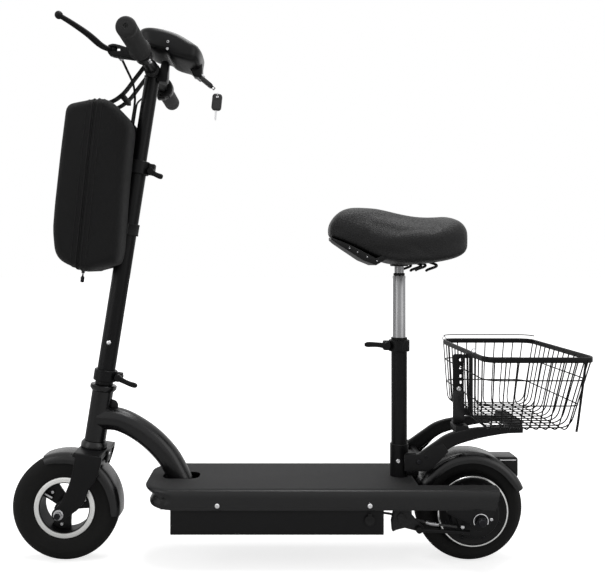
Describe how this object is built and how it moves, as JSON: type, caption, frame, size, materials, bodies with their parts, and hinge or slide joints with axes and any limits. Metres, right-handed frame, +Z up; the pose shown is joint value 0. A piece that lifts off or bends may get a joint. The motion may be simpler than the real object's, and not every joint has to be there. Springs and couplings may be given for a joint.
{
  "type": "electric scooter with a seat",
  "caption": "Electric scooter with a deck, telescopic stem, handlebar, sprung saddle on a sliding post, wire rear basket and a zipped bag in front of the stem.",
  "frame": {"origin": "on the ground, midway between the front of the front tyre and the back of the basket", "axes": "+X forwards, +Y to the rider's left, +Z up"},
  "size_m": [1.0496, 0.562, 1.0046],
  "materials": {
    "black_paint": "satin",
    "deck_paint": "fine texture, satin",
    "black_plastic": "matt, lightly grained",
    "rubber": "matt",
    "tyre": "matt, moulded tread",
    "grip_rubber": "matt, ribbed",
    "vinyl": "grained vinyl",
    "fabric": "woven, matt",
    "silver": "satin",
    "steel": "satin",
    "clear_plastic": "gloss"
  },
  "bodies": {
    "frame": {"neck_frame": "black_paint", "deck": "deck_paint", "battery_box": "black_paint", "battery_pack": "black_plastic", "motor_controller": "steel", "charge_port": "black_plastic", "rack_frame": "black_paint", "seat_tube": "black_paint", "seat_clamp": "black_paint", "basket_bracket": "black_paint", "basket_left": "black_paint", "basket_right": "black_paint", "basket_front": "black_paint", "basket_rear": "black_paint", "basket_floor": "black_paint", "rear_fender": "black_plastic", "tail_light": "black_plastic", "rear_axle": "steel", "brake_backplate": "black_paint", "neck_cable": "rubber", "rear_brake_cable": "rubber"},
    "rear_wheel": {"rear_tyre": "tyre", "hub_motor_shell": "black_paint", "hub_cover": "black_paint"},
    "brake_arm": {"brake_arm": "black_paint"},
    "kickstand": {"kickstand": "black_paint"},
    "charge_port_cap": {"charge_port_cap": "rubber"},
    "seat": {"seat_post": "silver", "saddle_clamp": "black_paint", "saddle_pan": "black_plastic", "saddle_cushion": "vinyl"},
    "seat_clamp_lever": {"seat_clamp_lever": "black_paint"},
    "fork": {"fork": "black_paint", "lower_stem": "black_paint", "stem_base_clamp": "black_paint", "stem_clamp": "black_paint", "front_axle": "steel", "front_fender": "black_plastic"},
    "front_wheel": {"front_tyre": "tyre", "front_rim": "silver"},
    "stem_base_lever": {"stem_base_lever": "black_paint"},
    "stem_clamp_lever": {"stem_clamp_lever": "black_paint"},
    "stem_button": {"stem_button": "steel"},
    "handlebar": {"handlebar": "black_paint", "left_grip": "grip_rubber", "brake_perch": "black_plastic", "display_housing": "black_plastic", "display_lens": "clear_plastic", "key_lock": "steel", "throttle_housing": "black_plastic", "bag_rear_shell": "fabric", "bag_upper_strap": "fabric", "brake_cable": "rubber", "throttle_cable": "rubber"},
    "brake_lever": {"brake_lever": "black_paint"},
    "throttle_grip": {"throttle_grip": "grip_rubber"},
    "key": {"key": "steel"},
    "spare_key": {"spare_key": "steel"},
    "bag_lid": {"bag_front_shell": "fabric"},
    "zip_pull": {"zip_pull": "black_plastic"}
  },
  "joints": [
    {"name": "steering", "type": "hinge", "parent": "frame", "child": "fork", "pos_m": [0.36985, 0, 0.22558], "axis": [-0.1564, 0, 0.9877], "range_deg": [-40, 40]},
    {"name": "front_wheel_spin", "type": "hinge", "parent": "fork", "child": "front_wheel", "pos_m": [0.4232, 0, 0.1016], "axis": [0, 1, 0], "continuous": true},
    {"name": "rear_wheel_spin", "type": "hinge", "parent": "frame", "child": "rear_wheel", "pos_m": [-0.3453, 0, 0.1016], "axis": [0, 1, 0], "continuous": true},
    {"name": "stem_height", "type": "slide", "parent": "fork", "child": "handlebar", "axis": [-0.1564, 0, 0.9877], "range_m": [-0.1, 0.05]},
    {"name": "seat_height", "type": "slide", "parent": "frame", "child": "seat", "axis": [0, 0, 1], "range_m": [-0.1, 0.05]},
    {"name": "seat_clamp_lever_swing", "type": "hinge", "parent": "frame", "child": "seat_clamp_lever", "pos_m": [-0.189, 0, 0.4077], "axis": [0, 1, 0], "range_deg": [0, 80]},
    {"name": "stem_base_lever_swing", "type": "hinge", "parent": "fork", "child": "stem_base_lever", "pos_m": [0.32301, 0, 0.3468], "axis": [0, 1, 0], "range_deg": [0, 75]},
    {"name": "stem_clamp_lever_swing", "type": "hinge", "parent": "fork", "child": "stem_clamp_lever", "pos_m": [0.2607, 0, 0.7402], "axis": [0, 1, 0], "range_deg": [0, 75]},
    {"name": "stem_button_press", "type": "slide", "parent": "fork", "child": "stem_button", "axis": [0, -1, 0], "range_m": [0, 0.003], "stiffness_N_per_m": 400, "springref_m": -0.001},
    {"name": "brake_lever_pull", "type": "hinge", "parent": "handlebar", "child": "brake_lever", "pos_m": [0.30979, 0.12, 0.94156], "axis": [0, 0, 1], "range_deg": [0, 22], "stiffness_Nm_per_rad": 0.5, "springref_deg": -11.46},
    {"name": "throttle_twist", "type": "hinge", "parent": "handlebar", "child": "throttle_grip", "pos_m": [0.25779, 0, 0.93306], "axis": [0, -1, 0], "range_deg": [0, 60], "stiffness_Nm_per_rad": 0.3, "springref_deg": -11.46},
    {"name": "key_turn", "type": "hinge", "parent": "handlebar", "child": "key", "pos_m": [0.16979, 0, 0.92506], "axis": [-0.766, 0, -0.6428], "range_deg": [0, 90]},
    {"name": "spare_key_swing", "type": "hinge", "parent": "key", "child": "spare_key", "pos_m": [0.13456, 0, 0.89549], "axis": [0, 1, 0], "range_deg": [-50, 50]},
    {"name": "bag_lid_open", "type": "hinge", "parent": "handlebar", "child": "bag_lid", "pos_m": [0.36633, -0.085, 0.70929], "axis": [-0.1045, 0, 0.9945], "range_deg": [-100, 0]},
    {"name": "zip_pull_swing", "type": "hinge", "parent": "handlebar", "child": "zip_pull", "pos_m": [0.38077, 0.05, 0.54555], "axis": [0, 1, 0], "range_deg": [-55, 55]},
    {"name": "brake_arm_turn", "type": "hinge", "parent": "frame", "child": "brake_arm", "pos_m": [-0.3103, 0, 0.1076], "axis": [0, 1, 0], "range_deg": [-8, 0]},
    {"name": "kickstand_fold", "type": "hinge", "parent": "frame", "child": "kickstand", "pos_m": [-0.2388, 0.0673, 0.079], "axis": [0, 1, 0], "range_deg": [-51, 0]},
    {"name": "charge_port_cap_open", "type": "hinge", "parent": "frame", "child": "charge_port_cap", "pos_m": [-0.1468, 0.0883, 0.1115], "axis": [1, 0, 0], "range_deg": [0, 110]}
  ],
  "couplings": [
    {"joint": "brake_arm_turn", "follows": "brake_lever_pull", "ratio": -0.35}
  ]
}
